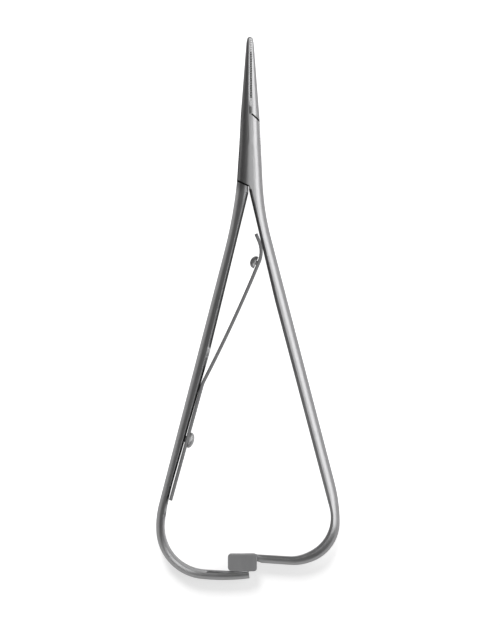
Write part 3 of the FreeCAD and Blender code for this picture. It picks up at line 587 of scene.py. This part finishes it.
def make_forging(node, body, material):
    """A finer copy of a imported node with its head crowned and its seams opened. The shading
    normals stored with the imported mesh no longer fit, so the copy drops them."""
    mesh = bpy.data.objects[node].data.copy()
    mesh.name = node + "_forging"
    if "custom_normal" in mesh.attributes:
        mesh.attributes.remove(mesh.attributes["custom_normal"])
    refine(mesh, EDGE_RULES)
    points = np.empty(len(mesh.vertices) * 3)
    mesh.vertices.foreach_get("co", points)
    points = points.reshape(-1, 3) / MM
    reshape(points, node)
    mesh.vertices.foreach_set("co", (points * MM).ravel())
    mesh.update()
    mesh.shade_smooth()
    mesh.set_sharp_from_angle(angle=FORGING_CREASE)
    piece = add_piece(node + "_forging", mesh, material)
    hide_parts(node)
    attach(piece, body)


# Leaf spring.

LEAF_THICKNESS, LEAF_WIDTH, LEAF_CORNER = 0.85, 4.4, 0.12
CORNER_TURN = np.radians([0.0, 30.0, 60.0, 90.0])
POINT_SPACING = 0.3
# The leaf's middle line from its lower end up, in runs as above.
LEAF_START, LEAF_HEADING = (-20.4722, -89.8195), 74.7
LEAF_RUNS = ((30.4, 0.0), (7.5, -11.95), (404.0, 4.8), (7.0, 46.0), (1.9, 0.0))


def run_points(point, heading, reach, turn, count):
    """Points along one run, its first left out: a straight line of a length, or an arc of a
    radius through a turn, positive to the left."""
    share = np.arange(1, count + 1) / count
    start = math.radians(heading)
    if turn == 0.0:
        steps = share[:, None] * reach * np.array([math.cos(start), math.sin(start)])
        return np.array(point) + steps, np.full(count, start)
    side = math.copysign(1.0, turn)
    angles = start + share * math.radians(turn)
    centre = np.array(point) + side * reach * np.array([-math.sin(start), math.cos(start)])
    return centre + side * reach * np.stack([np.sin(angles), -np.cos(angles)], 1), angles


def run_line(start, heading, runs):
    """Evenly spaced points along a chain of runs, and the heading at each, in radians."""
    points, angles = [np.array([start])], [np.radians([heading])]
    for reach, turn in runs:
        length = reach if turn == 0.0 else reach * math.radians(abs(turn))
        count = max(3, int(length / POINT_SPACING))
        more, headings = run_points(points[-1][-1], heading, reach, turn, count)
        points.append(more)
        angles.append(headings)
        heading += turn
    return np.concatenate(points), np.concatenate(angles)


def tube_faces(rows, count):
    """Quads between neighbouring rings of points, and one polygon on either end."""
    row = np.arange(rows - 1)[:, None] * count
    here = (row + np.arange(count)[None, :]).ravel()
    there = (row + (np.arange(count) + 1)[None, :] % count).ravel()
    sides = np.stack([here, there, there + count, here + count], 1).tolist()
    return sides + [list(range(count))[::-1], list(range((rows - 1) * count, rows * count))]


def tube_mesh(name, points):
    """Closed smooth mesh over rings of points in millimetres, one row of them for each ring."""
    mesh = bpy.data.meshes.new(name)
    mesh.from_pydata((points.reshape(-1, 3) * MM).tolist(), [], tube_faces(*points.shape[:2]))
    mesh.validate()
    mesh.shade_smooth()
    return mesh


def make_leaf(material):
    """Strip whose section, a rectangle with rounded corners, is carried along the middle line:
    each point is the line's point, plus a step across it along its normal, plus a height."""
    line, angle = run_line(LEAF_START, LEAF_HEADING, LEAF_RUNS)
    half_x, half_z = LEAF_THICKNESS / 2 - LEAF_CORNER, LEAF_WIDTH / 2 - LEAF_CORNER
    across, up = [], []
    for side_x, side_z, first in ((1, 1, 0), (-1, 1, 90), (-1, -1, 180), (1, -1, 270)):
        turn = CORNER_TURN + math.radians(first)
        across.append(side_x * half_x + LEAF_CORNER * np.cos(turn))
        up.append(side_z * half_z + LEAF_CORNER * np.sin(turn))
    across, up = np.concatenate(across), np.concatenate(up)
    normal = np.stack([-np.sin(angle), np.cos(angle)], 1)
    plan = line[:, None, :] + across[None, :, None] * normal[:, None, :]
    height = np.broadcast_to(MIDDLE_Z + up, plan.shape[:2])
    mesh = tube_mesh("leaf_spring_piece", np.concatenate([plan, height[:, :, None]], 2))
    return add_piece("leaf_spring_piece", mesh, material)


# Screw heads.

DOME_RIM = 0.3
RIM_CHAMFER = 0.06
DOME_STEPS, SCREW_SIDES = 25, 72
LEAST_RADIUS = 0.002
SCREW_CREASE = math.radians(40.0)


def dome_profile(head, dome, stem, depth):
    """Half section of a domed screw as radius and height: stem, underside, rim, and a cap that
    falls from the top as dome * (1 - sin) while its radius grows as head * cos."""
    turn = np.radians(np.linspace(0.0, 90.0, DOME_STEPS))
    radius = np.concatenate([[0.0, stem, stem, head - RIM_CHAMFER, head], head * np.cos(turn)])
    cap = DOME_RIM + (dome - DOME_RIM) * np.sin(turn)
    height = np.concatenate([[-depth, -depth, 0.0, 0.0, RIM_CHAMFER], cap])
    return radius, height


def make_screw(node, body, seat, heading, sizes, material):
    """Turn the profile about its axis: each point is the seat plus its height along the axis
    plus its radius in the plane across it."""
    radius, height = dome_profile(*sizes)
    radius = np.maximum(radius, LEAST_RADIUS)
    turn = np.linspace(0.0, 2.0 * math.pi, SCREW_SIDES, endpoint=False)
    axis = np.array([math.cos(math.radians(heading)), math.sin(math.radians(heading)), 0.0])
    across = np.array([-axis[1], axis[0], 0.0])
    centre = np.array([*seat, MIDDLE_Z])
    ring = np.cos(turn)[:, None] * across + np.sin(turn)[:, None] * np.array([0.0, 0.0, 1.0])
    points = centre + height[:, None, None] * axis + radius[:, None, None] * ring[None, :, :]
    mesh = tube_mesh(node + "_piece", points)
    mesh.set_sharp_from_angle(angle=SCREW_CREASE)
    piece = add_piece(node + "_piece", mesh, material)
    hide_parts(node)
    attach(piece, body)


# Stage, light and camera.

WHITE = (1.0, 1.0, 1.0, 1.0)
TABLE_HALF = 4.0
TABLE_SEEN, TABLE_MIRRORED = (0.6, 0.6, 0.6), (0.37, 0.37, 0.37)
TABLE_GLOW = 2.32
# Share of the glow that the eye sees below the shadow's end, how much it gains above it over the
# fade in millimetres, and the share that the steel sees.
GLOW_SEEN, GLOW_GAIN, GLOW_MIRRORED = 0.25, 0.2, 0.07
SHADOW_END, SHADOW_FADE = -108.0, 16.0
WORLD_LIGHT = 0.12
LAMP_MIDDLE_Y = -0.04
# Name, angle off the vertical, azimuth, distance, width, length and radiance; then whether it
# casts a shadow and whether the steel mirrors it.
LAMPS = (("right_softbox", 60.0, 18.0, 1.0, 0.8, 1.1, 1.65, False, True),
         ("overhead_softbox", 8.0, 0.0, 2.6, 2.2, 2.6, 0.62, True, True),
         ("near_softbox", 58.0, 232.0, 0.9, 0.5, 0.6, 1.3, False, True),
         ("far_softbox", 46.0, 103.0, 2.0, 0.67, 0.67, 27.0, True, False))
FAR_CLIP = 20.0


def make_stage():
    """White table: seen by the eye it is lit up to white but keeps the shadow, which fades out
    above the lower bends, and the steel sees it too, only dimmer."""
    mesh = bpy.data.meshes.new("table_top")
    corners = [(x * TABLE_HALF, y * TABLE_HALF, 0.0)
               for x, y in ((-1, -1), (1, -1), (1, 1), (-1, 1))]
    mesh.from_pydata(corners, [], [(0, 1, 2, 3)])
    table = bpy.data.objects.new("table_top", mesh)
    bpy.context.scene.collection.objects.link(table)
    paint = Paint("white_table")
    rays = {name: paint.node("ShaderNodeLightPath", {}, {}, output=name)
            for name in ("Is Camera Ray", "Is Glossy Ray", "Is Transmission Ray")}
    _, along, _ = paint.axes()
    lit = ((along - SHADOW_END) / SHADOW_FADE).clamped() * GLOW_GAIN + GLOW_SEEN
    seen = (lit * rays["Is Camera Ray"] + GLOW_MIRRORED * rays["Is Glossy Ray"]
            + GLOW_MIRRORED * rays["Is Transmission Ray"]).clamped()
    shade = paint.colour(rays["Is Camera Ray"], TABLE_MIRRORED, TABLE_SEEN)
    cloth = paint.node("ShaderNodeBsdfDiffuse", {}, {"Color": shade})
    white = paint.node("ShaderNodeEmission", {}, {"Color": WHITE, "Strength": TABLE_GLOW})
    both = paint.node("ShaderNodeMixShader", {}, {0: seen, 1: cloth, 2: white})
    paint.links.new(both.socket, paint.nodes.new("ShaderNodeOutputMaterial").inputs[0])
    mesh.materials.append(paint.material)


def make_lamp(name, angle, azimuth, distance, width, length, radiance, shadow, mirrored):
    """Softbox that faces the instrument from an angle off the vertical, towards an azimuth."""
    lean, turn = math.radians(angle), math.radians(azimuth)
    lamp = bpy.data.lights.new(name, "AREA")
    lamp.shape = "RECTANGLE"
    lamp.size, lamp.size_y = width, length
    lamp.energy = radiance * math.pi * width * length
    lamp.use_shadow = shadow
    box = bpy.data.objects.new(name, lamp)
    box.visible_glossy = mirrored
    box.location = (distance * math.sin(lean) * math.cos(turn),
                    distance * math.sin(lean) * math.sin(turn) + LAMP_MIDDLE_Y,
                    distance * math.cos(lean))
    box.rotation_euler = (0.0, lean, turn)
    bpy.context.scene.collection.objects.link(box)


def make_lights():
    """An even dim world, and the softboxes."""
    world = bpy.data.worlds.new("studio")
    world.use_nodes = True
    back = world.node_tree.nodes["Background"]
    back.inputs[0].default_value = WHITE
    back.inputs[1].default_value = WORLD_LIGHT
    bpy.context.scene.world = world
    for lamp in LAMPS:
        make_lamp(*lamp)


def make_camera():
    """Straight above the middle of the photograph's frame, with a long lens."""
    data = bpy.data.cameras.new("camera")
    data.sensor_width = SENSOR
    data.lens = SENSOR * CAMERA_HEIGHT / (FRAME_HEIGHT * PIXEL)
    data.clip_end = FAR_CLIP
    camera = bpy.data.objects.new("camera", data)
    middle_x = (FRAME_WIDTH / 2 - PIN_PIXEL[0]) * PIXEL
    middle_y = (PIN_PIXEL[1] - FRAME_HEIGHT / 2) * PIXEL
    camera.location = (middle_x, middle_y, CAMERA_HEIGHT + MIDDLE_Z * MM)
    bpy.context.scene.collection.objects.link(camera)
    bpy.context.scene.camera = camera


# The scene. Blender's own cube, lamp and camera go first, where a session starts with them.

for name in ("Cube", "Light", "Camera"):
    if name in bpy.data.objects:
        bpy.data.objects.remove(bpy.data.objects[name])

make_camera()
make_stage()
make_lights()
bpy.context.scene.view_settings.view_transform = "Standard"

# Finishes: the darkest and lightest colour, and the roughness.
FORGED = ((0.42, 0.42, 0.425), (0.62, 0.62, 0.625), 0.36)
TURNED = ((0.48, 0.48, 0.485), (0.8, 0.8, 0.805), 0.46)
ROLLED = ((0.16, 0.16, 0.165), (0.42, 0.42, 0.425), 0.4)

box_steel = forged_steel("forged_steel_box", *FORGED, block=True)
through_steel = forged_steel("forged_steel_through", *FORGED)
pin = pin_steel("pin_steel", *FORGED)
make_forging("box_half", BOX_SIDE, box_steel)
make_forging("through_half", THROUGH_SIDE, through_steel)
make_forging("joint_pin", BOX_SIDE, pin)
# Each screw: where its head sits, the way it points, and its head, dome, stem and depth.
screws = turned_steel("screw_steel", *TURNED)
make_screw("spring_screw", THROUGH_SIDE, (-15.787, -74.306), -15.3, (2.0, 1.35, 0.85, 2.6), screws)
make_screw("guide_screw", BOX_SIDE, (1.6, -28.56), 157.8, (1.62, 1.6, 0.6, 0.8), screws)

leaf = make_leaf(spring_strip("spring_steel", *ROLLED))
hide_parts("leaf_spring")
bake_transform(leaf)
